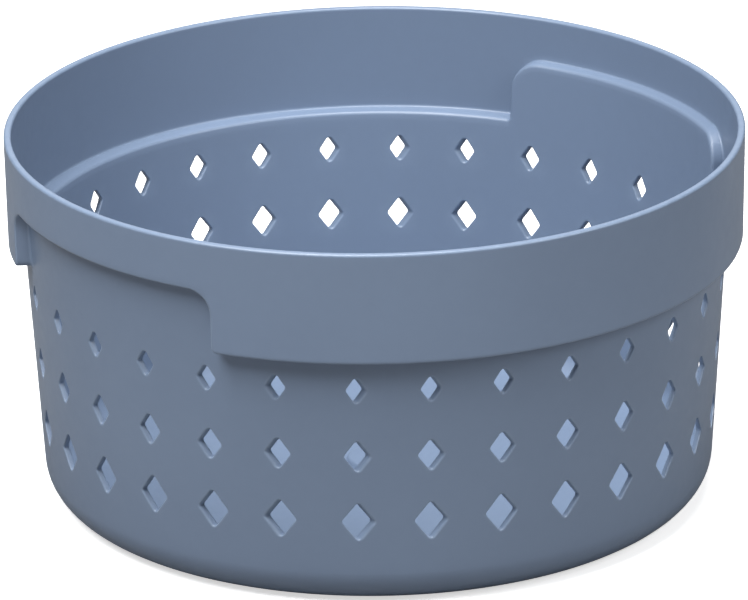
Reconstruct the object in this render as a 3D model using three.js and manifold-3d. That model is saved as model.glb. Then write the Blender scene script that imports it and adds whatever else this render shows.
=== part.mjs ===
// Perforated inner basket of a hand-driven salad spinner: one thin injection moulding.
// Millimetres, +Z up. The origin is on the basket's axis, on the plane that it stands on.
// Azimuth 0 looks along -Y and turns towards +X.
import * as THREE from 'three';
import { mergeVertices } from 'three/addons/utils/BufferGeometryUtils.js';
import Module from 'manifold-3d';

// Driving dimensions
const HEIGHT = 124;
const RIM_RADIUS = 120.5;
const RIM_ROUNDING = 0.8;
const BAND_DRAFT = THREE.MathUtils.degToRad(1);
const BAND_SKIN = 2.5;
const WALL_FOOT_RADIUS = 109.05;
const WALL_DRAFT = THREE.MathUtils.degToRad(3.62);
const WALL_SKIN = 2.3;
const LEDGE_SKIN = 1.7;
const FLOOR_SKIN = 2.5;
const FOOT_FILLET = 13;

// The rim band is deep for most of the way round, with two shallow stretches opposite each other
const DEEP_STEP_Z = 87;
const SHALLOW_STEP_Z = 107.5;
const NOTCH_AZIMUTH = -51;
const NOTCH_HALF_ANGLE = 25.1;
const NOTCH_TOP_RADIUS = 8;
const NOTCH_FOOT_RADIUS = 2;
const SHARPEST_FOOT_RADIUS = 0.2;
const HALF_TURNS = [0, 180];

// Diamond perforations: two like halves, each opened by two mould slides
const HOLE_ROWS = [
  { z: 75.9, width: 6.4, height: 8.4 },
  { z: 53.0, width: 8.2, height: 10.3 },
  { z: 30.2, width: 10.3, height: 12.6 },
];
const HOLE_CORNER = 0.9;
const COLUMNS_PER_HALF = 15;
const FIRST_COLUMN_AZIMUTH = -3.4;
const COLUMN_PITCH = 11.914;
const SLIDE_AZIMUTHS = [38.3, 127.7];
const COLUMNS_ON_FIRST_SLIDE = 8;
const HOLE_CUTTER_REACH = 13;
const NOTCH_CUTTER_START = 40;
const NOTCH_CUTTER_END = RIM_RADIUS + 20;

// Locating socket in the middle of the floor
const SOCKET_HEIGHT = 6;
const SOCKET_FOOT_RADIUS = 13;
const SOCKET_TOP_RADIUS = 10;

// How far a cutter runs past the surface that it opens, and joined solids run into each other
const OVERRUN = 1;

// Resolution of the round surfaces
const LATHE_SEGMENTS = 72;
const FILLET_STEPS = 5;
const NOTCH_STEPS = 4;

const wasm = await Module();
wasm.setup();

// A closed three.js geometry as a solid that can be cut and joined
function toSolid(geometry) {
  const bare = geometry.index ? geometry.toNonIndexed() : geometry.clone();
  bare.deleteAttribute('normal');
  bare.deleteAttribute('uv');
  const merged = mergeVertices(bare, 1e-4);
  const corners = merged.index.array;
  const kept = [];
  for (let i = 0; i < corners.length; i += 3) {
    const [a, b, c] = corners.slice(i, i + 3);
    if (a !== b && b !== c && c !== a) kept.push(a, b, c);
  }
  const mesh = new wasm.Mesh({
    numProp: 3,
    vertProperties: new Float32Array(merged.attributes.position.array),
    triVerts: new Uint32Array(kept),
  });
  return new wasm.Manifold(mesh);
}

function toGeometry(solid) {
  const mesh = solid.getMesh();
  const geometry = new THREE.BufferGeometry();
  geometry.setAttribute('position', new THREE.BufferAttribute(new Float32Array(mesh.vertProperties), 3));
  geometry.setIndex(new THREE.BufferAttribute(new Uint32Array(mesh.triVerts), 1));
  geometry.computeVertexNormals();
  return geometry;
}

// A profile of [radius, z] pairs, from the axis at the bottom to the axis at the top, turned about Z
function turned(profile) {
  const points = profile.map(([radius, z]) => new THREE.Vector2(radius, z));
  const geometry = new THREE.LatheGeometry(points, LATHE_SEGMENTS);
  geometry.rotateX(Math.PI / 2);
  return toSolid(geometry);
}

// An outline in the vertical plane across an azimuth, pushed outwards along that azimuth
function pushed(outline, from, to, azimuth, curveSegments) {
  const options = { depth: to - from, bevelEnabled: false, curveSegments };
  const geometry = new THREE.ExtrudeGeometry(outline, options);
  geometry.translate(0, 0, from);
  geometry.rotateX(Math.PI / 2);
  geometry.rotateZ(THREE.MathUtils.degToRad(azimuth));
  return geometry;
}

function wallRadius(z) {
  return WALL_FOOT_RADIUS + z * Math.tan(WALL_DRAFT);
}

function bandRadius(z) {
  return RIM_RADIUS - (HEIGHT - z) * Math.tan(BAND_DRAFT);
}

// The side wall and floor, offset inwards by the skin: skin 0 gives the outside
function cupProfile(skin, floorZ, topZ) {
  const fillet = FOOT_FILLET - skin;
  const centreZ = floorZ + fillet;
  const centreRadius = wallRadius(centreZ) - skin - fillet / Math.cos(WALL_DRAFT);
  const profile = [[0, floorZ]];
  for (let i = 0; i <= FILLET_STEPS; i += 1) {
    const angle = -Math.PI / 2 + (i / FILLET_STEPS) * (Math.PI / 2 - WALL_DRAFT);
    profile.push([centreRadius + fillet * Math.cos(angle), centreZ + fillet * Math.sin(angle)]);
  }
  profile.push([wallRadius(topZ) - skin, topZ], [0, topZ]);
  return profile;
}

// The outline of one shallow stretch, as the clearance under the band
function notchOutline(grow, lift) {
  const middle = bandRadius(SHALLOW_STEP_Z);
  const half = middle * Math.sin(THREE.MathUtils.degToRad(NOTCH_HALF_ANGLE)) + grow;
  const top = SHALLOW_STEP_Z + lift;
  const topRadius = NOTCH_TOP_RADIUS + grow;
  const foot = DEEP_STEP_Z + lift;
  const footRadius = Math.max(NOTCH_FOOT_RADIUS - grow, SHARPEST_FOOT_RADIUS);
  const outline = new THREE.Shape();
  outline.moveTo(-half - footRadius, foot - OVERRUN);
  outline.lineTo(half + footRadius, foot - OVERRUN);
  outline.lineTo(half + footRadius, foot);
  outline.absarc(half + footRadius, foot + footRadius, footRadius, -Math.PI / 2, -Math.PI, true);
  outline.absarc(half - topRadius, top - topRadius, topRadius, 0, Math.PI / 2, false);
  outline.absarc(topRadius - half, top - topRadius, topRadius, Math.PI / 2, Math.PI, false);
  outline.absarc(-half - footRadius, foot + footRadius, footRadius, 0, -Math.PI / 2, true);
  return outline;
}

// The cutter for one shallow stretch, spread outwards so that its ends lie along the basket's radius
function notchCutter(grow, lift, azimuth) {
  const outline = notchOutline(grow, lift);
  const geometry = pushed(outline, NOTCH_CUTTER_START, NOTCH_CUTTER_END, 0, NOTCH_STEPS);
  const points = geometry.attributes.position;
  const trueDistance = bandRadius(SHALLOW_STEP_Z) * Math.cos(THREE.MathUtils.degToRad(NOTCH_HALF_ANGLE));
  for (let i = 0; i < points.count; i += 1) {
    const distance = -points.getY(i);
    points.setX(i, (points.getX(i) * distance) / trueDistance);
  }
  geometry.rotateZ(THREE.MathUtils.degToRad(azimuth));
  return toSolid(geometry);
}

function notches(grow, lift) {
  const cutters = HALF_TURNS.map((turn) => notchCutter(grow, lift, NOTCH_AZIMUTH + turn));
  return cutters[0].add(cutters[1]);
}

// The band's outside as a solid disc from its step to the rounded rim
function bandDisc() {
  const roundingStart = HEIGHT - RIM_ROUNDING;
  return turned([
    [0, DEEP_STEP_Z],
    [bandRadius(DEEP_STEP_Z), DEEP_STEP_Z],
    [bandRadius(roundingStart), roundingStart],
    [bandRadius(HEIGHT) - RIM_ROUNDING, HEIGHT],
    [0, HEIGHT],
  ]);
}

// The space inside the band, from its ledge to above the rim
function bandHollow() {
  const ledge = DEEP_STEP_Z + LEDGE_SKIN;
  const top = HEIGHT + OVERRUN;
  return turned([
    [0, ledge],
    [bandRadius(ledge) - BAND_SKIN, ledge],
    [bandRadius(top) - BAND_SKIN, top],
    [0, top],
  ]);
}

function outerEnvelope() {
  const cup = turned(cupProfile(0, 0, SHALLOW_STEP_Z + OVERRUN));
  return cup.add(bandDisc().subtract(notches(0, 0)));
}

function innerEnvelope() {
  const cup = turned(cupProfile(WALL_SKIN, FLOOR_SKIN, SHALLOW_STEP_Z + LEDGE_SKIN + OVERRUN));
  return cup.add(bandHollow().subtract(notches(WALL_SKIN, LEDGE_SKIN)));
}

function diamondOutline(width, height) {
  const run = HOLE_CORNER / Math.hypot(width, height);
  const dx = run * width;
  const dy = run * height;
  const x = width / 2;
  const y = height / 2;
  const outline = new THREE.Shape();
  outline.moveTo(x - dx, -dy);
  outline.lineTo(x - dx, dy);
  outline.lineTo(dx, y - dy);
  outline.lineTo(-dx, y - dy);
  outline.lineTo(dx - x, dy);
  outline.lineTo(dx - x, -dy);
  outline.lineTo(-dx, dy - y);
  outline.lineTo(dx, dy - y);
  outline.closePath();
  return outline;
}

// One hole, cut along its mould slide so that it opens to its full width on the outside of the wall
function holeCutter(row, azimuth, slideAzimuth) {
  const slant = THREE.MathUtils.degToRad(azimuth - slideAzimuth);
  const outline = diamondOutline(row.width * Math.cos(slant), row.height);
  const geometry = pushed(outline, -HOLE_CUTTER_REACH, HOLE_CUTTER_REACH, slideAzimuth, 1);
  const angle = THREE.MathUtils.degToRad(azimuth);
  const radius = wallRadius(row.z);
  geometry.translate(radius * Math.sin(angle), -radius * Math.cos(angle), row.z);
  return toSolid(geometry);
}

function perforate(basket) {
  let pierced = basket;
  for (const turn of HALF_TURNS) {
    for (let column = 0; column < COLUMNS_PER_HALF; column += 1) {
      const azimuth = FIRST_COLUMN_AZIMUTH + column * COLUMN_PITCH;
      const slide = SLIDE_AZIMUTHS[column < COLUMNS_ON_FIRST_SLIDE ? 0 : 1];
      for (const row of HOLE_ROWS) {
        pierced = pierced.subtract(holeCutter(row, azimuth + turn, slide + turn));
      }
    }
  }
  return pierced;
}

// A hollow cone frustum pressed up from the floor
function addSocket(basket) {
  const top = SOCKET_HEIGHT + FLOOR_SKIN;
  const raised = turned([
    [0, FLOOR_SKIN / 2],
    [SOCKET_FOOT_RADIUS, FLOOR_SKIN / 2],
    [SOCKET_FOOT_RADIUS, FLOOR_SKIN],
    [SOCKET_TOP_RADIUS, top],
    [0, top],
  ]);
  const recess = turned([
    [0, -OVERRUN],
    [SOCKET_FOOT_RADIUS - WALL_SKIN, -OVERRUN],
    [SOCKET_FOOT_RADIUS - WALL_SKIN, 0],
    [SOCKET_TOP_RADIUS - WALL_SKIN, SOCKET_HEIGHT],
    [0, SOCKET_HEIGHT],
  ]);
  return basket.add(raised).subtract(recess);
}

function makeBasket() {
  const shell = outerEnvelope().subtract(innerEnvelope());
  const material = new THREE.MeshStandardMaterial({ color: 0x70809a, roughness: 0.45, metalness: 0 });
  const mesh = new THREE.Mesh(toGeometry(addSocket(perforate(shell))), material);
  mesh.name = 'basket';
  return mesh;
}

const spinnerBasket = new THREE.Group();
spinnerBasket.add(makeBasket());

export default spinnerBasket;
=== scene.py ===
"""Perforated inner basket of a hand-driven salad spinner, dressed for rendering.

The basket is one thin injection moulding: a drain wall with diamond holes, a rim band that stands out from
it by a step, and a flat floor with a filleted foot. Sizes are in millimetres and azimuths in degrees, counted
from -Y towards +X, until a mesh is placed, in metres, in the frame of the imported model.
"""

import logging
import math
from dataclasses import dataclass, field
from enum import Enum

import bmesh
import bpy
import numpy as np
from mathutils import Matrix, Vector


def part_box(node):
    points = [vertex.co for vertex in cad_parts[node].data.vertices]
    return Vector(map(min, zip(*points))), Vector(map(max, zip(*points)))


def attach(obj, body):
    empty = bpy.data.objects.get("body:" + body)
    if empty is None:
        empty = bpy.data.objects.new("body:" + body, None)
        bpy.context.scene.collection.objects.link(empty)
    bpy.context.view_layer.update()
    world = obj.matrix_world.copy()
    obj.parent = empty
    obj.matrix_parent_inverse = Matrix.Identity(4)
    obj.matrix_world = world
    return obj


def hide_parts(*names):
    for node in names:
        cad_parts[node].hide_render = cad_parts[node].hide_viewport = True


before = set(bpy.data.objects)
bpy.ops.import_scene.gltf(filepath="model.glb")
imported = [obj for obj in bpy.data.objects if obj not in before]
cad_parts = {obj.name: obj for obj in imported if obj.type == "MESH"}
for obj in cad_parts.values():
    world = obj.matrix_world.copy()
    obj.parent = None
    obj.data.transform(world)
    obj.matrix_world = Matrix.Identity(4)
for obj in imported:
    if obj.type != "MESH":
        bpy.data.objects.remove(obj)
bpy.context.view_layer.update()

log = logging.getLogger("salad_spinner_basket")

MM = 0.001
HALF_TURN = 180.0
FULL_TURN = 360.0
MERGE_GAP = 0.004 * MM
WALL_LINE = 0
BAND_LINE = 5
FIRST_COLOUR = 6
SECOND_COLOUR = 7
MIXED_COLOUR = 2
WHITE = (1.0, 1.0, 1.0, 1.0)

Colour = tuple[float, float, float]


class Skin(Enum):
    """The two sides of the moulding."""

    OUTER = "outer"
    INNER = "inner"


class Corner(Enum):
    """The two kinds of corner that the band's lower edge turns through at the end of a shallow stretch."""

    NOTCH_TOP = "notch top"
    BAND_FOOT = "band foot"


# ---------------------------------------------------------------------------------------------------------
# Small helpers for work in object and edit mode
# ---------------------------------------------------------------------------------------------------------


def select_only(*objects: bpy.types.Object) -> None:
    """Select these objects alone and make the first one active.

    Args:
        objects: What the next operator works on.
    """
    if bpy.context.object is not None and bpy.context.object.mode != "OBJECT":
        bpy.ops.object.mode_set(mode="OBJECT")
    bpy.ops.object.select_all(action="DESELECT")
    for item in objects:
        item.select_set(True)
    bpy.context.view_layer.objects.active = objects[0]


def enter_edit(item: bpy.types.Object, mode: str = "VERT") -> bmesh.types.BMesh:
    """Open an object in edit mode with nothing selected.

    Args:
        item: The mesh object.
        mode: The select mode, VERT or EDGE.

    Returns:
        The mesh under edit.
    """
    select_only(item)
    bpy.ops.object.mode_set(mode="EDIT")
    bpy.ops.mesh.select_mode(type=mode)
    bpy.ops.mesh.select_all(action="DESELECT")
    return bmesh.from_edit_mesh(item.data)


def leave_edit() -> None:
    """Go back to object mode."""
    bpy.ops.object.mode_set(mode="OBJECT")


def joined(parts: list[bpy.types.Object], name: str) -> bpy.types.Object:
    """Join mesh objects into one and merge their shared border points.

    Args:
        parts: The objects, of which the first one stays.
        name: The name of the result.

    Returns:
        The joined object.
    """
    select_only(*parts)
    bpy.ops.object.join()
    result = bpy.context.object
    result.name = name
    result.data.name = name
    enter_edit(result)
    bpy.ops.mesh.select_all(action="SELECT")
    bpy.ops.mesh.remove_doubles(threshold=MERGE_GAP)
    leave_edit()
    return result


def points_of(item: bpy.types.Object) -> np.ndarray:
    """Return an object's mesh points.

    Args:
        item: The mesh object.

    Returns:
        One row of X, Y and Z for each point.
    """
    flat = np.zeros(len(item.data.vertices) * 3)
    item.data.vertices.foreach_get("co", flat)
    return flat.reshape(-1, 3)


def numbers_of(item: bpy.types.Object, name: str) -> np.ndarray:
    """Return one whole number for each mesh point.

    Args:
        item: The mesh object.
        name: The attribute that holds the numbers.

    Returns:
        The numbers, in the order of the points.
    """
    flat = np.zeros(len(item.data.vertices), dtype=np.int32)
    item.data.attributes[name].data.foreach_get("value", flat)
    return flat


def place(item: bpy.types.Object, azimuth: np.ndarray, radius: np.ndarray, height: np.ndarray) -> None:
    """Move an object's mesh points to places round the basket's axis.

    Args:
        item: The mesh object.
        azimuth: Degrees from -Y towards +X, for each point.
        radius: Millimetres from the axis.
        height: Millimetres above the base plane.
    """
    angle = np.radians(azimuth)
    points = np.stack([radius * np.sin(angle), -radius * np.cos(angle), height], axis=1) * MM
    item.data.vertices.foreach_set("co", points.ravel())
    item.data.update()


def write_edge(item: bpy.types.Object, values: np.ndarray) -> None:
    """Store how much of a rounded edge each mesh point is on, for a painted highlight there.

    Args:
        item: The mesh object.
        values: 0 off the edge to 1 on it, for each point.
    """
    layer = item.data.attributes.new("edge", "FLOAT", "POINT")
    layer.data.foreach_set("value", np.asarray(values, dtype=np.float32))


def smoothed(share: np.ndarray) -> np.ndarray:
    """Return a share from 0 to 1 with soft ends."""
    held = np.clip(share, 0.0, 1.0)
    return held * held * (3.0 - 2.0 * held)


# ---------------------------------------------------------------------------------------------------------
# The moulding
# ---------------------------------------------------------------------------------------------------------


@dataclass
class BasketForm:
    """Driving sizes of the moulding, shared by the wall, the band and the floor."""

    height: float
    band_top_radius: float
    rim_rounding: float = 0.9
    band_draft: float = math.radians(1.0)
    band_skin: float = 2.5
    wall_foot_radius: float = 109.05
    wall_draft: float = math.radians(3.62)
    wall_skin: float = 2.3
    ledge_skin: float = 1.7
    floor_skin: float = 2.5
    foot_fillet: float = 13.0
    deep_step_z: float = 87.0
    shallow_step_z: float = 107.5
    floor_join_z: float = 18.8
    wall_join_z: float = 84.6

    def wall_radius(self, z: np.ndarray | float, skin: Skin = Skin.OUTER) -> np.ndarray | float:
        """Return the tapered wall's radius at a height, outside or inside."""
        outside = self.wall_foot_radius + z * math.tan(self.wall_draft)
        return outside - (self.wall_skin if skin is Skin.INNER else 0.0)

    def band_radius(self, z: np.ndarray | float, skin: Skin = Skin.OUTER) -> np.ndarray | float:
        """Return the rim band's radius at a height, outside or inside."""
        below = self.height - self.rim_rounding - z
        outside = self.band_top_radius - below * math.tan(self.band_draft)
        return outside - (self.band_skin if skin is Skin.INNER else 0.0)


@dataclass
class HoleRow:
    """One row of diamond holes."""

    z: float
    width: float
    height: float
    cell_foot: float
    cell_top: float


@dataclass
class DrainWall:
    """The tapered wall with its diamond drain holes, made of one tile for each hole."""

    form: BasketForm
    rows: list[HoleRow] = field(
        default_factory=lambda: [
            HoleRow(z=75.9, width=6.2, height=8.2, cell_foot=64.45, cell_top=84.6),
            HoleRow(z=53.0, width=8.0, height=10.1, cell_foot=41.6, cell_top=64.45),
            HoleRow(z=30.2, width=10.1, height=12.4, cell_foot=18.8, cell_top=41.6),
        ]
    )
    first_column: float = -3.4
    column_pitch: float = 11.914
    columns_per_half: int = 15
    slides: tuple[float, float] = (38.3, 127.7)
    columns_on_first_slide: int = 8
    tip_radius: float = 1.05
    outer_edge_radius: float = 0.5
    inner_edge_radius: float = 0.6
    edge_support: float = 0.4
    outer_arc: tuple[float, ...] = (0.0, 30.0, 60.0, 90.0)
    inner_arc: tuple[float, ...] = (0.0, 45.0, 90.0)
    middle_ring: float = 0.45
    middle_slant: float = 0.6
    # Lighter colour on the rounded hole edges, ring by ring: a painted highlight where the edges catch the
    # light; the same shares also lower the roughness.
    highlight_rings: tuple[float, ...] = (0.0, 0.0, 0.0, 0.45, 1.0, 0.8, 0.2, 0.0, 0.5, 0.3, 0.0, 0.0)
    seats: int = 32
    tip_seats: int = 2
    cell_side_steps: int = 8

    def columns(self) -> list[tuple[float, float]]:
        """Return each column's azimuth and the azimuth of the mould slide that opens it."""
        found = []
        for turn in (0.0, HALF_TURN):
            for number in range(self.columns_per_half):
                slide = self.slides[0 if number < self.columns_on_first_slide else 1]
                found.append((self.first_column + number * self.column_pitch + turn, slide + turn))
        return found

    def cell_borders(self) -> list[float]:
        """Return the azimuths midway between the columns, with the first one again a full turn on."""
        azimuths = [azimuth for azimuth, _ in self.columns()]
        before = [azimuths[-1] - FULL_TURN] + azimuths[:-1]
        borders = [(a + b) / 2 for a, b in zip(before, azimuths)]
        return borders + [borders[0] + FULL_TURN]

    def border_lines(self) -> np.ndarray:
        """Return the azimuths of all the upright mesh lines at the wall's top and foot."""
        borders, steps = self.cell_borders(), self.cell_side_steps
        pairs = zip(borders[:-1], borders[1:])
        return np.concatenate([np.linspace(a, b, steps, endpoint=False) for a, b in pairs])

    def rings(self) -> list[tuple[float, float, float, float]]:
        """Return the tile's rings from the outer cell border to the inner one.

        Returns:
            For each ring the share of the way from the hole's outline to the cell border, the outline's
            offset, the depth below the outer skin and the share of the slant that it takes.
        """
        skin, outer, inner = self.form.wall_skin, self.outer_edge_radius, self.inner_edge_radius
        rings = [(1.0, 0.0, 0.0, 0.0), (self.middle_ring, outer + self.edge_support, 0.0, 0.0)]
        rings.append((0.0, outer + self.edge_support, 0.0, 0.0))
        for angle in self.outer_arc:
            turn = math.radians(angle)
            rings.append((0.0, outer * (1 - math.sin(turn)), outer * (1 - math.cos(turn)), 1.0))
        for angle in self.inner_arc:
            turn = math.radians(angle)
            rings.append((0.0, inner * (1 - math.cos(turn)), skin - inner * (1 - math.sin(turn)), 1.0))
        rings.append((self.middle_ring, inner + self.edge_support, skin, self.middle_slant))
        rings.append((1.0, 0.0, skin, 0.0))
        return rings

    def outline(self, row: HoleRow, seat: np.ndarray, offset: np.ndarray) -> tuple[np.ndarray, np.ndarray]:
        """Return points on a diamond with rounded tips, grown by an offset.

        Args:
            row: The hole's row.
            seat: Each point's number round the outline, from the right tip towards the top tip.
            offset: How far each point stands off the outline.

        Returns:
            Sideways and upward millimetres from the hole's middle.
        """
        reach, rise = row.width / 2 - self.tip_radius, row.height / 2 - self.tip_radius
        side_normal = math.atan2(reach, rise)
        quarter, tip = self.seats // 4, self.tip_seats
        turned = np.where((seat // quarter) % 2 == 0, seat % quarter, quarter - seat % quarter)
        share = np.clip((turned - tip) / (quarter - 2 * tip), 0.0, 1.0)
        seats = [0, tip, quarter - tip, quarter]
        normal = np.interp(turned, seats, [0.0, side_normal, side_normal, math.pi / 2])
        across = reach * (1 - share) + (self.tip_radius + offset) * np.cos(normal)
        up = rise * share + (self.tip_radius + offset) * np.sin(normal)
        left = (seat > quarter) & (seat < 3 * quarter)
        low = seat > 2 * quarter
        return np.where(left, -across, across), np.where(low, -up, up)

    def tile(self) -> bpy.types.Object:
        """Model one tile's net, a circle of edges pulled out ring by ring.

        Returns:
            The net, each point of which knows its ring and its seat.
        """
        bpy.ops.object.select_all(action="DESELECT")
        bpy.ops.mesh.primitive_circle_add(vertices=self.seats, radius=1.0)
        net = bpy.context.object
        mesh = enter_edit(net, "EDGE")
        seat_layer = mesh.verts.layers.int.new("seat")
        mesh.verts.layers.int.new("ring")
        for vert in mesh.verts:
            vert[seat_layer] = round(math.atan2(vert.co.y, vert.co.x) / math.tau * self.seats) % self.seats
        bpy.ops.mesh.select_all(action="SELECT")
        for number in range(1, len(self.rings())):
            bpy.ops.mesh.extrude_edges_move()
            mesh = bmesh.from_edit_mesh(net.data)
            ring_layer = mesh.verts.layers.int["ring"]
            for vert in mesh.verts:
                if vert.select:
                    vert[ring_layer] = number
        leave_edit()
        return net

    def shape_tile(self, net: bpy.types.Object, row: HoleRow, column: int) -> None:
        """Give a copy of the tile the shape of one hole and the wall round it.

        Args:
            net: The copy.
            row: The hole's row.
            column: The hole's column.
        """
        azimuth, slide = self.columns()[column]
        left, right = self.cell_borders()[column : column + 2]
        seat, ring = numbers_of(net, "seat"), numbers_of(net, "ring")
        way, offset, depth, share = (np.array(values)[ring] for values in zip(*self.rings()))
        across, up = self.outline(row, seat, offset)
        across = across - share * depth * math.tan(math.radians(slide - azimuth))
        hole_z = row.z + up
        hole_azimuth = azimuth + np.degrees(across / (self.form.wall_radius(hole_z) - depth))
        turned = (seat + self.seats // 8) % self.seats
        side, step = turned // self.cell_side_steps, turned % self.cell_side_steps
        run = step / self.cell_side_steps
        foot, top = row.cell_foot, row.cell_top
        over, rise = (right - left) * run, (top - foot) * run
        border_azimuth = np.choose(side, [right, right - over, left, left + over])
        border_z = np.choose(side, [foot + rise, top, top - rise, foot])
        point_z = hole_z * (1 - way) + border_z * way
        point_azimuth = hole_azimuth * (1 - way) + border_azimuth * way
        place(net, point_azimuth, self.form.wall_radius(point_z) - depth, point_z)
        write_edge(net, np.array(self.highlight_rings)[ring])

    def build(self) -> bpy.types.Object:
        """Copy the tile to every hole, shape each copy, and join them.

        Returns:
            The wall, open at its top and foot.
        """
        net = self.tile()
        tiles = []
        for row in self.rows:
            for column in range(len(self.columns())):
                copy = net.copy()
                copy.data = net.data.copy()
                bpy.context.collection.objects.link(copy)
                self.shape_tile(copy, row, column)
                tiles.append(copy)
        bpy.data.objects.remove(net)
        wall = joined(tiles, "drain_wall")
        log.info("drain wall: %d holes, %d faces", len(tiles), len(wall.data.polygons))
        return wall


@dataclass
class StepProfile:
    """The section of the step, in six lines from the wall side to the band side."""

    wall_side_radius: float
    band_side_radius: float
    face_draft: float = 0.06
    arc_middle: float = 1 - math.sin(math.radians(45))

    def distances(self) -> list[float]:
        """Return each line's distance from the step, towards the band."""
        wall_side, band_side = self.wall_side_radius, self.band_side_radius
        return [
            -wall_side,
            -wall_side * self.arc_middle,
            -self.face_draft,
            self.face_draft,
            band_side * self.arc_middle,
            band_side,
        ]

    def radius(self, line: np.ndarray, wall: np.ndarray, band: np.ndarray) -> np.ndarray:
        """Return the radius on a line of the step between a wall radius and a band radius.

        Args:
            line: 0 on the wall side to 5 on the band side, for each point.
            wall: The wall's radius at each point.
            band: The band's radius at each point.

        Returns:
            The radius, for each point.
        """
        from_wall = np.array([0.0, self.arc_middle, 1.0, 0.0, 0.0, 0.0]) * self.wall_side_radius
        from_band = np.array([0.0, 0.0, 0.0, 1.0, self.arc_middle, 0.0]) * self.band_side_radius
        return np.where(line <= 2, wall + from_wall[line], band - from_band[line])


@dataclass
class BandRow:
    """One level line of the band's net."""

    z: float
    skin: Skin
    deep_line: int
    shallow_line: int
    inset: float | None = None
    crossing: float = 0.0


@dataclass
class RimBand:
    """The rim band: its outer skin, rounded rim and inner skin, with the step in two heights."""

    form: BasketForm
    notch_azimuth: float = -51.0
    notch_half_angle: float = 25.1
    outer_step: StepProfile = field(default_factory=lambda: StepProfile(1.0, 0.6))
    inner_step: StepProfile = field(default_factory=lambda: StepProfile(1.2, 0.7))
    notch_top_radius: float = 8.0
    band_foot_radius: float = 2.0
    inner_foot_radius: float = 0.8
    line_pitch: float = 1.5
    foot_z: float = 85.2
    deep_shares: tuple[float, ...] = (0.06, 0.12, 0.19, 0.45, 0.72, 1.0)
    corner_shares: tuple[float, ...] = (0.2, 0.4, 0.6, 0.8)
    shallow_shares: tuple[float, ...] = (0.12, 0.35, 0.6, 0.82, 0.95, 1.0)
    rim_arc: tuple[float, ...] = (18.0, 36.0, 54.0, 72.0, 90.0)
    end_reach: float = 0.5
    end_shares: tuple[float, ...] = (0.0, 0.2, 0.4, 0.6, 0.8)
    beyond_end: tuple[float, ...] = (0.6, 1.2, 2.0)
    notch_top_hold: float = 0.4
    notch_top_fade: float = 4.0
    band_foot_hold: float = 0.1
    band_foot_fade: float = 0.8
    end_turn_fade: float = 8.0
    outer_end_turn: float = -0.3
    inner_end_turn: float = 0.45
    # Lighter colour on the band's lower rounded edge and on the rim: a painted highlight where these edges
    # catch the light; the same shares also lower the roughness.
    highlight_lines: tuple[float, ...] = (0.0, 0.0, 0.0, 0.4, 1.0, 0.0)
    highlight_rim: float = 0.5

    def step_of(self, skin: Skin) -> StepProfile:
        """Return the step's section on one skin."""
        return self.outer_step if skin is Skin.OUTER else self.inner_step

    def growth(self, skin: Skin) -> float:
        """Return how far the step's line lies towards the band on one skin."""
        return self.form.wall_skin if skin is Skin.INNER else 0.0

    def lift(self, skin: Skin) -> float:
        """Return how far the step's level faces lie above the outer ones on one skin."""
        return self.form.ledge_skin if skin is Skin.INNER else 0.0

    def skin_rows(self, skin: Skin) -> list[BandRow]:
        """Return one skin's level lines from its foot up to the rim.

        Args:
            skin: Outer or inner.

        Returns:
            The lines, which cross over to the middle of the rim above the shallow step.
        """
        lift, step = self.lift(skin), self.step_of(skin)
        deep, shallow = self.form.deep_step_z + lift, self.form.shallow_step_z + lift
        top = self.form.height - self.form.rim_rounding
        corner_floor = self.form.shallow_step_z - self.notch_top_radius
        rows = [BandRow(self.foot_z, skin, WALL_LINE, WALL_LINE)]
        rows += [BandRow(deep + gap, skin, line, WALL_LINE) for line, gap in enumerate(step.distances())]
        above_deep = deep + step.band_side_radius
        corner_roof = shallow - step.wall_side_radius
        for share in self.deep_shares:
            rows.append(BandRow(above_deep + share * (corner_floor - above_deep), skin, BAND_LINE, WALL_LINE))
        for share in self.corner_shares:
            z = corner_floor + share * (corner_roof - corner_floor)
            rows.append(BandRow(z, skin, BAND_LINE, WALL_LINE))
        rows += [BandRow(shallow + gap, skin, BAND_LINE, line) for line, gap in enumerate(step.distances())]
        above_shallow = shallow + step.band_side_radius
        for share in self.shallow_shares:
            z = above_shallow + share * (top - above_shallow)
            away = smoothed(np.array(share)).item() / 2
            crossing = away if skin is Skin.OUTER else 1 - away
            rows.append(BandRow(z, skin, BAND_LINE, BAND_LINE, crossing=crossing))
        return rows

    def rows(self) -> list[BandRow]:
        """Return all level lines: up the outer skin, over the rim and down the inner skin."""
        rounding, skin = self.form.rim_rounding, self.form.band_skin
        outer, inner = self.skin_rows(Skin.OUTER), self.skin_rows(Skin.INNER)
        rim = []
        for angle in self.rim_arc:
            turn = math.radians(angle)
            rim.append((rounding * (1 - math.cos(turn)), self.form.height - rounding * (1 - math.sin(turn))))
        rim += [(skin - inset, z) for inset, z in reversed(rim)]
        over = [BandRow(z, Skin.OUTER, BAND_LINE, BAND_LINE, inset=inset, crossing=0.5) for inset, z in rim]
        return outer + over + list(reversed(inner))

    def risers(self) -> list[tuple[float, int]]:
        """Return each shallow stretch's ends: their azimuth, and the way to the deep band from there."""
        ends = []
        for turn in (0.0, HALF_TURN):
            ends.append((self.notch_azimuth - self.notch_half_angle + turn, -1))
            ends.append((self.notch_azimuth + self.notch_half_angle + turn, 1))
        return ends

    def riser_gaps(self, skin: Skin) -> tuple[list[float], list[int]]:
        """Return the upright lines near the end of a shallow stretch.

        Args:
            skin: Outer or inner.

        Returns:
            Each line's distance from the outer step, towards the band, and its line of the step's section.
        """
        grow, step = self.growth(skin), self.step_of(skin)
        strip = [grow + gap for gap in step.distances()]
        far = -self.notch_top_radius - self.end_reach
        inside = [far + share * (strip[0] - far) for share in self.end_shares]
        beyond = [strip[-1] + gap for gap in self.beyond_end]
        lines = [WALL_LINE] * len(inside) + list(range(len(strip))) + [BAND_LINE] * len(beyond)
        return inside + strip + beyond, lines

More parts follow.
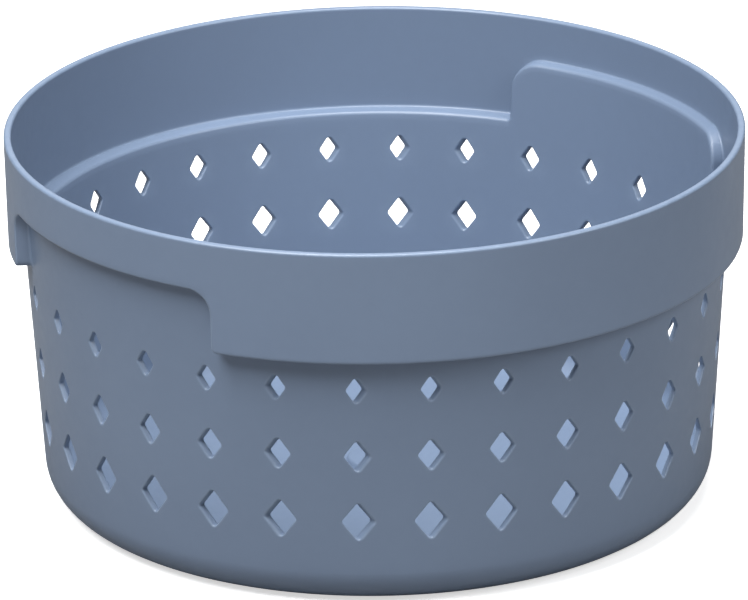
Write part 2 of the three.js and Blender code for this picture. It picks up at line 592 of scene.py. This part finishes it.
    def degrees_per_mm(self) -> float:
        """Return the azimuth that one millimetre round the band takes."""
        return math.degrees(1 / self.form.band_radius(self.form.shallow_step_z))

    def columns(self) -> tuple[np.ndarray, np.ndarray, np.ndarray]:
        """Return all upright lines round the band.

        Returns:
            Their azimuths on the outer skin and on the inner skin, and their lines of the step's section.
        """
        outer_gaps, lines = self.riser_gaps(Skin.OUTER)
        inner_gaps, _ = self.riser_gaps(Skin.INNER)
        scale = self.degrees_per_mm()
        groups = []
        for azimuth, way in sorted(self.risers()):
            outer = [azimuth + way * gap * scale for gap in outer_gaps]
            inner = [azimuth + way * gap * scale for gap in inner_gaps]
            triples = list(zip(outer, inner, lines))
            groups.append(triples if way > 0 else triples[::-1])
        first = [(a + FULL_TURN, b + FULL_TURN, line) for a, b, line in groups[0][:1]]
        found = []
        for number, group in enumerate(groups):
            following = groups[number + 1][0] if number + 1 < len(groups) else first[0]
            found += group
            last = group[-1]
            steps = math.ceil((following[0] - last[0]) / self.line_pitch)
            for step in range(1, steps):
                share = step / steps
                azimuths = [last[k] + share * (following[k] - last[k]) for k in (0, 1)]
                found.append((azimuths[0], azimuths[1], last[2]))
        found += first
        outer, inner, section = zip(*found)
        return np.array(outer), np.array(inner), np.array(section)

    def rounded(
        self, azimuth: np.ndarray, z: np.ndarray, skin: Skin, corner: Corner
    ) -> tuple[np.ndarray, np.ndarray]:
        """Bend the net's square corners at the ends of the shallow stretches into round ones.

        Args:
            azimuth: Degrees, for each point.
            z: Millimetres.
            skin: Outer or inner.
            corner: Which kind of corner.

        Returns:
            The bent azimuths and heights.
        """
        grow, step, scale = self.growth(skin), self.step_of(skin), self.degrees_per_mm()
        if corner is Corner.NOTCH_TOP:
            radius, way_in = self.notch_top_radius + grow, -1
            held, faded = step.band_side_radius + self.notch_top_hold, self.notch_top_fade
            corner_z = self.form.shallow_step_z + self.lift(skin)
        else:
            radius = self.band_foot_radius if skin is Skin.OUTER else self.inner_foot_radius
            way_in, held, faded = 1, step.wall_side_radius + self.band_foot_hold, self.band_foot_fade
            corner_z = self.form.deep_step_z + self.lift(skin)
        azimuth, z = azimuth.copy(), z.copy()
        for riser, way in self.risers():
            for turn in (-FULL_TURN, 0.0, FULL_TURN):
                towards_band = way * (azimuth - riser - turn) / scale
                across = -way_in * (towards_band - (grow + way_in * radius))
                up = -way_in * (z - (corner_z + way_in * radius))
                inside = (across > 0) & (up > 0)
                reach = np.maximum(across, up)
                inside &= reach < radius + held + faded
                if not inside.any():
                    continue
                x, y, far = across[inside], up[inside], reach[inside]
                eighths = np.where(x >= y, y / far, 2 - x / far)
                angle = eighths * math.pi / 4
                share = 1 - smoothed((far - radius - held) / faded)
                x = x + share * (far * np.cos(angle) - x)
                y = y + share * (far * np.sin(angle) - y)
                bent = -way_in * x + grow + way_in * radius
                azimuth[inside] = riser + turn + way * bent * scale
                z[inside] = -way_in * y + corner_z + way_in * radius
        return azimuth, z

    def ends_turned(self, azimuth: np.ndarray, radius: np.ndarray, skin: Skin) -> np.ndarray:
        """Turn the faces at the ends of the shallow stretches off the radius.

        A whole turn would lay them parallel to the line from the axis through the middle of their stretch.
        Each skin takes its own share of that turn.

        Args:
            azimuth: Degrees, for each point.
            radius: Millimetres from the axis.
            skin: Outer or inner.

        Returns:
            The azimuths after the turn, which fades out on both sides of an end.
        """
        grow, half_angle = self.growth(skin), math.radians(self.notch_half_angle)
        half_width = self.form.band_radius(self.form.shallow_step_z) * math.sin(half_angle) + grow
        drawn = self.notch_half_angle + grow * self.degrees_per_mm()
        extra = np.degrees(np.arcsin(half_width / radius)) - drawn
        extra *= self.inner_end_turn if skin is Skin.INNER else self.outer_end_turn
        result = azimuth.copy()
        for riser, way in self.risers():
            for turn in (-FULL_TURN, 0.0, FULL_TURN):
                gap = np.abs(azimuth - riser - turn)
                result += way * extra * (1 - smoothed(gap / self.end_turn_fade))
        return result

    def build(self) -> bpy.types.Object:
        """Model the band as one net, from the outer skin's foot over the rim to the inner skin's foot.

        Returns:
            The band, open at its two feet.
        """
        rows = self.rows()
        outer, inner, section = self.columns()
        bpy.ops.object.select_all(action="DESELECT")
        bpy.ops.mesh.primitive_grid_add(x_subdivisions=len(outer) - 1, y_subdivisions=len(rows) - 1, size=1.0)
        net = bpy.context.object
        points = points_of(net)
        column = np.rint((points[:, 0] + 0.5) * (len(outer) - 1)).astype(int)
        row = np.rint((points[:, 1] + 0.5) * (len(rows) - 1)).astype(int)
        z = np.array([item.z for item in rows])[row]
        crossings = [item.crossing if item.skin is Skin.OUTER or item.crossing else 1.0 for item in rows]
        crossing = np.array(crossings)[row]
        azimuth = outer[column] * (1 - crossing) + inner[column] * crossing
        deep = np.array([item.deep_line for item in rows])[row]
        shallow = np.array([item.shallow_line for item in rows])[row]
        line = np.minimum(deep, np.maximum(section[column], shallow))
        radius = np.zeros(len(z))
        for skin in Skin:
            on_skin = np.array([item.skin is skin and item.inset is None for item in rows])[row]
            for corner in Corner:
                azimuth[on_skin], z[on_skin] = self.rounded(azimuth[on_skin], z[on_skin], skin, corner)
            wall = self.form.wall_radius(z[on_skin], skin)
            band = self.form.band_radius(z[on_skin], skin)
            radius[on_skin] = self.step_of(skin).radius(line[on_skin], wall, band)
            azimuth[on_skin] = self.ends_turned(azimuth[on_skin], radius[on_skin], skin)
        inset = np.array([np.nan if item.inset is None else item.inset for item in rows])[row]
        on_rim = ~np.isnan(inset)
        radius[on_rim] = self.form.band_top_radius - inset[on_rim]
        place(net, azimuth, radius, z)
        outside = np.array([item.skin is Skin.OUTER for item in rows])[row]
        on_corner = np.where(outside, np.array(self.highlight_lines)[line], 0.0)
        write_edge(net, np.where(on_rim, self.highlight_rim, on_corner))
        net.name = "rim_band"
        log.info("rim band: %d by %d lines", len(rows), len(outer))
        return net


@dataclass
class Floor:
    """The flat floor with its filleted foot and the locating socket in its middle."""

    form: BasketForm
    lines: np.ndarray
    fillet_steps: int = 12
    socket_rise: float = 6.0
    socket_foot_radius: float = 13.0
    socket_top_radius: float = 10.0
    edge_radius: float = 0.8
    bend_shares: tuple[float, ...] = (0.0, 0.33, 0.67, 1.0)
    level_rings: tuple[float, ...] = (94.0, 70.0, 45.0, 22.0)
    wall_ring_z: float = 15.5
    inner_wall_ring_z: float = 16.0
    hollow_ring: float = 3.0
    crown_ring: float = 4.0
    beyond_socket: float = 30.0

    def fillet(self, skin: Skin) -> list[tuple[float, float]]:
        """Return the foot's arc on one skin.

        Args:
            skin: Outer or inner.

        Returns:
            Points as radius and height, from the wall down to the floor.
        """
        draft, inward = self.form.wall_draft, self.form.wall_skin if skin is Skin.INNER else 0.0
        radius = self.form.foot_fillet - inward
        middle_z = (self.form.floor_skin if skin is Skin.INNER else 0.0) + radius
        middle = self.form.wall_radius(middle_z, skin) - radius / math.cos(draft)
        arc = []
        for number in range(self.fillet_steps + 1):
            angle = -draft - number / self.fillet_steps * (math.pi / 2 - draft)
            arc.append((middle + radius * math.cos(angle), middle_z + radius * math.sin(angle)))
        return arc

    def bent(
        self, corner: tuple[float, float], before: tuple[float, float], after: tuple[float, float]
    ) -> list[tuple[float, float]]:
        """Return a small rounding in place of a corner of the section.

        Args:
            corner: The corner's radius and height.
            before: A point on the line that comes in.
            after: A point on the line that goes out.

        Returns:
            The rounding's points as radius and height.
        """
        middle = Vector(corner)
        start = middle + (Vector(before) - middle).normalized() * self.edge_radius
        end = middle + (Vector(after) - middle).normalized() * self.edge_radius
        found = []
        for share in self.bend_shares:
            found.append(tuple(start.lerp(middle, share).lerp(middle.lerp(end, share), share)))
        return found

    def section(self) -> list[tuple[float, float]]:
        """Return the half section as radius and height, from the outer skin round to the inner skin."""
        form, join = self.form, self.form.floor_join_z
        skin, top, level = form.wall_skin, self.socket_rise, form.floor_skin
        foot, crown = (self.socket_foot_radius - skin, 0.0), (self.socket_top_radius - skin, top)
        raised_foot, raised_crown = (self.socket_foot_radius, level), (self.socket_top_radius, top + level)
        outer = [(form.wall_radius(z), z) for z in (join, self.wall_ring_z)] + self.fillet(Skin.OUTER)
        outer += [(radius, 0.0) for radius in self.level_rings]
        outer += self.bent(foot, (self.beyond_socket, 0.0), crown) + self.bent(crown, foot, (0.0, top))
        outer += [(self.hollow_ring, top), (0.0, top)]
        inner = [(0.0, top + level), (self.crown_ring, top + level)]
        inner += self.bent(raised_crown, (0.0, top + level), raised_foot)
        inner += self.bent(raised_foot, raised_crown, (self.beyond_socket, level))
        inner += [(radius, level) for radius in reversed(self.level_rings)]
        inner += self.fillet(Skin.INNER)[::-1]
        inner += [(form.wall_radius(z, Skin.INNER), z) for z in (self.inner_wall_ring_z, join)]
        return outer + inner

    def build(self) -> bpy.types.Object:
        """Draw the half section as a chain of edges and spin it round the axis.

        Returns:
            The floor, open at its two rims under the drain wall.
        """
        section = self.section()
        bpy.ops.object.select_all(action="DESELECT")
        bpy.ops.mesh.primitive_plane_add(size=1.0)
        floor = bpy.context.object
        mesh = enter_edit(floor)
        mesh.clear()
        chain = [mesh.verts.new((radius * MM, 0.0, z * MM)) for radius, z in section]
        for start, end in zip(chain[:-1], chain[1:]):
            if start.co.x > 0 or end.co.x > 0:
                mesh.edges.new((start, end))
        bmesh.update_edit_mesh(floor.data)
        bpy.ops.mesh.select_all(action="SELECT")
        steps = len(self.lines)
        bpy.ops.mesh.spin(steps=steps, angle=math.tau, center=(0, 0, 0), axis=(0, 0, 1), use_auto_merge=False)
        bpy.ops.mesh.select_all(action="SELECT")
        bpy.ops.mesh.remove_doubles(threshold=MERGE_GAP)
        leave_edit()
        points = points_of(floor) / MM
        angle = np.degrees(np.arctan2(points[:, 1], points[:, 0])) % FULL_TURN
        number = np.rint(angle / FULL_TURN * steps).astype(int) % steps
        place(floor, self.lines[number], np.hypot(points[:, 0], points[:, 1]), points[:, 2])
        write_edge(floor, np.zeros(len(points)))
        floor.name = "floor"
        log.info("floor: %d points in its section", len(section))
        return floor


@dataclass
class BasketMoulding:
    """The whole basket as the single piece of plastic that it is."""

    form: BasketForm
    below_join: float = 0.1
    above_join: float = 1.0

    def bridge(self, basket: bpy.types.Object, skin: Skin) -> None:
        """Join the drain wall's top to the band's foot on one skin.

        Args:
            basket: The joined wall and band.
            skin: Outer or inner.
        """
        mesh = enter_edit(basket, "EDGE")
        join = self.form.wall_join_z
        low, high = (join - self.below_join) * MM, (join + self.above_join) * MM
        parting = (self.form.wall_radius(join) - self.form.wall_skin / 2) * MM
        for edge in mesh.edges:
            if not edge.is_boundary:
                continue
            ends = [vert.co for vert in edge.verts]
            level = all(low < point.z < high for point in ends)
            outside = math.hypot(ends[0].x, ends[0].y) > parting
            if level and outside == (skin is Skin.OUTER):
                edge.select_set(True)
        bmesh.update_edit_mesh(basket.data)
        bpy.ops.mesh.bridge_edge_loops()
        leave_edit()

    def build(self) -> bpy.types.Object:
        """Build the wall, band and floor and join them into one closed skin.

        Returns:
            The moulding, with its normals outwards.
        """
        drain = DrainWall(self.form)
        wall = drain.build()
        band = RimBand(self.form).build()
        floor = Floor(self.form, drain.border_lines()).build()
        basket = joined([wall, band, floor], "basket_moulding")
        for skin in Skin:
            self.bridge(basket, skin)
        enter_edit(basket)
        bpy.ops.mesh.select_all(action="SELECT")
        bpy.ops.mesh.normals_make_consistent(inside=False)
        leave_edit()
        basket.data.shade_smooth()
        select_only(basket)
        weighted = basket.modifiers.new("even_shading", "WEIGHTED_NORMAL")
        weighted.mode = "FACE_AREA"
        bpy.ops.object.modifier_apply(modifier=weighted.name)
        for name in ("seat", "ring"):
            basket.data.attributes.remove(basket.data.attributes[name])
        check = bmesh.new()
        check.from_mesh(basket.data)
        open_edges = sum(1 for edge in check.edges if not edge.is_manifold)
        log.info("moulding: %d faces, %d open edges", len(check.faces), open_edges)
        check.free()
        return basket


# ---------------------------------------------------------------------------------------------------------
# Finishes
# ---------------------------------------------------------------------------------------------------------


class NodeBench:
    """A material's node tree with short ways to add and wire nodes."""

    noise_floor: float = 0.3
    noise_roof: float = 0.7

    def __init__(self, name: str) -> None:
        """Start an empty node material.

        Args:
            name: The material's name.
        """
        self.material = bpy.data.materials.new(name)
        self.material.use_nodes = True
        self.tree = self.material.node_tree
        self.tree.nodes.clear()

    def add(self, kind: str, **values: object) -> bpy.types.Node:
        """Add a node and set its properties.

        Args:
            kind: The node's type name.
            values: Properties of the node by name.

        Returns:
            The node.
        """
        node = self.tree.nodes.new(kind)
        for name, value in values.items():
            setattr(node, name, value)
        return node

    def wire(self, start: bpy.types.NodeSocket, end: bpy.types.NodeSocket) -> None:
        """Link an output socket to an input socket."""
        self.tree.links.new(start, end)

    def noise(self, where: bpy.types.NodeSocket, scale: float, detail: float) -> bpy.types.NodeSocket:
        """Add a noise pattern on given coordinates.

        Args:
            where: The coordinates.
            scale: Cells in a metre.
            detail: Octaves.

        Returns:
            The pattern's value, from 0 to 1.
        """
        node = self.add("ShaderNodeTexNoise")
        node.inputs["Scale"].default_value = scale
        node.inputs["Detail"].default_value = detail
        self.wire(where, node.inputs["Vector"])
        return node.outputs["Fac"]

    def spread(self, value: bpy.types.NodeSocket, low: float, high: float) -> bpy.types.NodeSocket:
        """Stretch the middle of a noise pattern to a range.

        Args:
            value: The pattern.
            low: The result where the pattern is dark.
            high: The result where it is bright.

        Returns:
            The stretched value.
        """
        node = self.add("ShaderNodeMapRange")
        node.inputs["From Min"].default_value = self.noise_floor
        node.inputs["From Max"].default_value = self.noise_roof
        node.inputs["To Min"].default_value = low
        node.inputs["To Max"].default_value = high
        self.wire(value, node.inputs["Value"])
        return node.outputs["Result"]

    def math(
        self, operation: str, first: bpy.types.NodeSocket, second: bpy.types.NodeSocket | float
    ) -> bpy.types.NodeSocket:
        """Combine two values.

        Args:
            operation: The operation's name.
            first: A socket.
            second: A socket or a number.

        Returns:
            The result.
        """
        node = self.add("ShaderNodeMath", operation=operation)
        self.wire(first, node.inputs[0])
        if isinstance(second, (int, float)):
            node.inputs[1].default_value = second
        else:
            self.wire(second, node.inputs[1])
        return node.outputs[0]

    def blend(
        self, share: bpy.types.NodeSocket, first: Colour | bpy.types.NodeSocket, second: Colour
    ) -> bpy.types.NodeSocket:
        """Mix two colours by a value.

        Args:
            share: 0 for the first colour, 1 for the second.
            first: A linear colour or a socket.
            second: A linear colour.

        Returns:
            The mixed colour.
        """
        node = self.add("ShaderNodeMix", data_type="RGBA")
        if isinstance(first, tuple):
            node.inputs[FIRST_COLOUR].default_value = (*first, 1.0)
        else:
            self.wire(first, node.inputs[FIRST_COLOUR])
        node.inputs[SECOND_COLOUR].default_value = (*second, 1.0)
        self.wire(share, node.inputs[0])
        return node.outputs[MIXED_COLOUR]

    def bump(
        self,
        height: bpy.types.NodeSocket,
        strength: float,
        distance: float,
        under: bpy.types.NodeSocket | None = None,
    ) -> bpy.types.NodeSocket:
        """Raise and lower the surface by a pattern.

        Args:
            height: The pattern.
            strength: How much of the bump shows, from 0 to 1.
            distance: The bump's height in millimetres.
            under: The normal of a finer bump that this one adds to.

        Returns:
            The bumped normal.
        """
        node = self.add("ShaderNodeBump")
        node.inputs["Strength"].default_value = strength
        node.inputs["Distance"].default_value = distance * MM
        self.wire(height, node.inputs["Height"])
        if under is not None:
            self.wire(under, node.inputs["Normal"])
        return node.outputs["Normal"]


@dataclass(frozen=True)
class MouldedPlastic:
    """Satin blue-grey polypropylene straight from the mould, with a painted highlight on its rounded edges.
    """

    shade: Colour = (0.150, 0.200, 0.290)
    cloud: Colour = (0.162, 0.216, 0.311)
    # Lighter colour laid on the rounded edges: a painted highlight.
    highlight_colour: Colour = (0.220, 0.285, 0.390)
    colour_detail: float = 3.0
    cloud_scale: float = 14.0
    cloud_share: float = 0.75
    fleck_scale: float = 260.0
    fleck_share: float = 0.25
    # How much of the painted edge highlight shows, mottled by the flecks.
    least_highlight: float = 0.25
    most_highlight: float = 0.75
    roughness_low: float = 0.34
    roughness_high: float = 0.46
    polish: float = 0.06
    specular: float = 0.5
    relief_detail: float = 2.0
    grain_scale: float = 1500.0
    grain_strength: float = 0.10
    grain_height: float = 0.06
    ripple_scale: float = 95.0
    ripple_strength: float = 0.25
    ripple_height: float = 0.10

    def material(self) -> bpy.types.Material:
        """Make the material.

        Returns:
            The finished node material.
        """
        bench = NodeBench("blue_grey_polypropylene")
        shader = bench.add("ShaderNodeBsdfPrincipled")
        output = bench.add("ShaderNodeOutputMaterial")
        bench.wire(shader.outputs[0], output.inputs["Surface"])
        where = bench.add("ShaderNodeTexCoord").outputs["Object"]
        clouds = bench.noise(where, self.cloud_scale, self.colour_detail)
        flecks = bench.noise(where, self.fleck_scale, self.colour_detail)
        coarse = bench.math("MULTIPLY", clouds, self.cloud_share)
        mottled = bench.math("ADD", coarse, bench.math("MULTIPLY", flecks, self.fleck_share))
        body = bench.blend(bench.spread(mottled, 0.0, 1.0), self.shade, self.cloud)
        # The edge attribute paints a highlight on rounded edges by lightening the base colour, and lowers the
        # roughness there.
        edge = bench.add("ShaderNodeAttribute", attribute_name="edge").outputs["Fac"]
        highlight_share = bench.math("MULTIPLY", edge, bench.spread(flecks, self.least_highlight, self.most_highlight))
        bench.wire(bench.blend(highlight_share, body, self.highlight_colour), shader.inputs["Base Color"])
        satin = bench.spread(mottled, self.roughness_high, self.roughness_low)
        polished = bench.math("SUBTRACT", satin, bench.math("MULTIPLY", edge, self.polish))
        bench.wire(polished, shader.inputs["Roughness"])
        shader.inputs["Specular IOR Level"].default_value = self.specular
        grain = bench.noise(where, self.grain_scale, self.relief_detail)
        ripple = bench.noise(where, self.ripple_scale, self.relief_detail)
        fine = bench.bump(grain, self.grain_strength, self.grain_height)
        broad = bench.bump(ripple, self.ripple_strength, self.ripple_height, under=fine)
        bench.wire(broad, shader.inputs["Normal"])
        return bench.material


@dataclass(frozen=True)
class StudioPaper:
    """White seamless paper under the basket, which throws back less light than it shows."""

    shade: Colour = (0.86, 0.86, 0.86)
    fibre: Colour = (0.88, 0.88, 0.88)
    fibre_scale: float = 300.0
    fibre_detail: float = 3.0
    glow: float = 0.6
    bounce: Colour = (0.25, 0.25, 0.25)
    roughness: float = 0.9
    specular: float = 0.2

    def material(self) -> bpy.types.Material:
        """Make the material.

        Returns:
            The finished node material.
        """
        bench = NodeBench("studio_paper")
        shader = bench.add("ShaderNodeBsdfPrincipled")
        output = bench.add("ShaderNodeOutputMaterial")
        dim = bench.add("ShaderNodeBsdfDiffuse")
        dim.inputs["Color"].default_value = (*self.bounce, 1.0)
        chooser = bench.add("ShaderNodeMixShader")
        bench.wire(bench.add("ShaderNodeLightPath").outputs["Is Camera Ray"], chooser.inputs[0])
        bench.wire(dim.outputs[0], chooser.inputs[1])
        bench.wire(shader.outputs[0], chooser.inputs[2])
        bench.wire(chooser.outputs[0], output.inputs["Surface"])
        shader.inputs["Emission Color"].default_value = WHITE
        shader.inputs["Emission Strength"].default_value = self.glow
        where = bench.add("ShaderNodeTexCoord").outputs["Object"]
        fibres = bench.spread(bench.noise(where, self.fibre_scale, self.fibre_detail), 0.0, 1.0)
        bench.wire(bench.blend(fibres, self.shade, self.fibre), shader.inputs["Base Color"])
        shader.inputs["Roughness"].default_value = self.roughness
        shader.inputs["Specular IOR Level"].default_value = self.specular
        return bench.material


# ---------------------------------------------------------------------------------------------------------
# Studio
# ---------------------------------------------------------------------------------------------------------


@dataclass
class Softbox:
    """A square soft light that looks at the basket."""

    name: str
    azimuth: float
    elevation: float
    distance: float
    size: float
    power: float

    def build(self, target: Vector) -> None:
        """Hang the light.

        Args:
            target: The point that it faces.
        """
        turn, lift = math.radians(self.azimuth), math.radians(self.elevation)
        level = math.cos(lift)
        away = Vector((math.sin(turn) * level, -math.cos(turn) * level, math.sin(lift)))
        data = bpy.data.lights.new(self.name, "AREA")
        data.shape = "SQUARE"
        data.size = self.size
        data.energy = self.power
        light = bpy.data.objects.new(self.name, data)
        bpy.context.collection.objects.link(light)
        light.location = target + away * self.distance
        light.rotation_euler = (-away).to_track_quat("-Z", "Y").to_euler()


@dataclass
class Studio:
    """White ground, soft lights and a long lens."""

    centre: Vector
    height: float
    ground_size: float = 24.0
    ground_gap: float = 0.05 * MM
    farthest_view: float = 100.0
    sky_strength: float = 0.12
    pivot_share: float = 0.468
    aim_up: float = 4.75 * MM
    aim_left: float = 0.89 * MM
    lens: float = 395.7
    camera_distance: float = 2.6946
    camera_elevation: float = 20.98
    camera_roll: float = -0.014
    softboxes: list[Softbox] = field(
        default_factory=lambda: [
            Softbox("key_softbox", -43.0, 55.0, 1.7, 0.9, 32.0),
            Softbox("fill_softbox", 59.0, 36.0, 1.7, 0.9, 12.5),
            Softbox("top_softbox", 0.0, 85.0, 1.7, 0.8, 30.0),
            Softbox("back_panel", 180.0, 24.0, 2.2, 1.4, 3.0),
        ]
    )

    def ground(self) -> None:
        """Lay the ground under the base."""
        bpy.ops.object.select_all(action="DESELECT")
        bpy.ops.mesh.primitive_plane_add(size=self.ground_size, location=(0.0, 0.0, 0.0))
        ground = bpy.context.object
        ground.name = "ground"
        ground.location.z = -self.ground_gap
        ground.data.materials.append(StudioPaper().material())

    def sky(self) -> None:
        """Light everything evenly and softly from all round."""
        world = bpy.data.worlds.new("white_studio")
        world.use_nodes = True
        backdrop = world.node_tree.nodes["Background"]
        backdrop.inputs["Color"].default_value = WHITE
        backdrop.inputs["Strength"].default_value = self.sky_strength
        bpy.context.scene.world = world

    def camera(self) -> None:
        """Set up the camera and look through it."""
        lift = math.radians(self.camera_elevation)
        away = Vector((0.0, -math.cos(lift), math.sin(lift)))
        upward = Vector((0.0, math.sin(lift), math.cos(lift)))
        pivot = Vector((self.centre.x, self.centre.y, self.height * self.pivot_share))
        seat = pivot + away * self.camera_distance
        aim = pivot + upward * self.aim_up - Vector((self.aim_left, 0.0, 0.0))
        data = bpy.data.cameras.new("long_lens")
        data.lens = self.lens
        data.clip_end = self.farthest_view
        camera = bpy.data.objects.new("long_lens", data)
        bpy.context.collection.objects.link(camera)
        look = (aim - seat).to_track_quat("-Z", "Y").to_matrix().to_4x4()
        camera.matrix_world = Matrix.Translation(seat) @ look @ Matrix.Rotation(self.camera_roll, 4, "Z")
        bpy.context.scene.camera = camera

    def build(self) -> None:
        """Put up the ground, the sky, the lights and the camera."""
        self.ground()
        self.sky()
        target = Vector((self.centre.x, self.centre.y, self.height / 2))
        for softbox in self.softboxes:
            softbox.build(target)
        self.camera()
        bpy.context.scene.view_settings.view_transform = "Standard"
        log.info("studio: %d softboxes", len(self.softboxes))


def main() -> None:
    """Build the basket and the studio round it, and report each piece."""
    logging.basicConfig(level=logging.INFO, format="%(name)s: %(message)s")
    lowest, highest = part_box("basket")
    form = BasketForm(height=highest.z / MM, band_top_radius=(highest.x - lowest.x) / 2 / MM)
    basket = BasketMoulding(form).build()
    basket.data.materials.clear()
    basket.data.materials.append(MouldedPlastic().material())
    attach(basket, "root")
    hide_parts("basket")
    Studio(centre=(lowest + highest) / 2, height=highest.z).build()


if __name__ == "__main__":
    main()
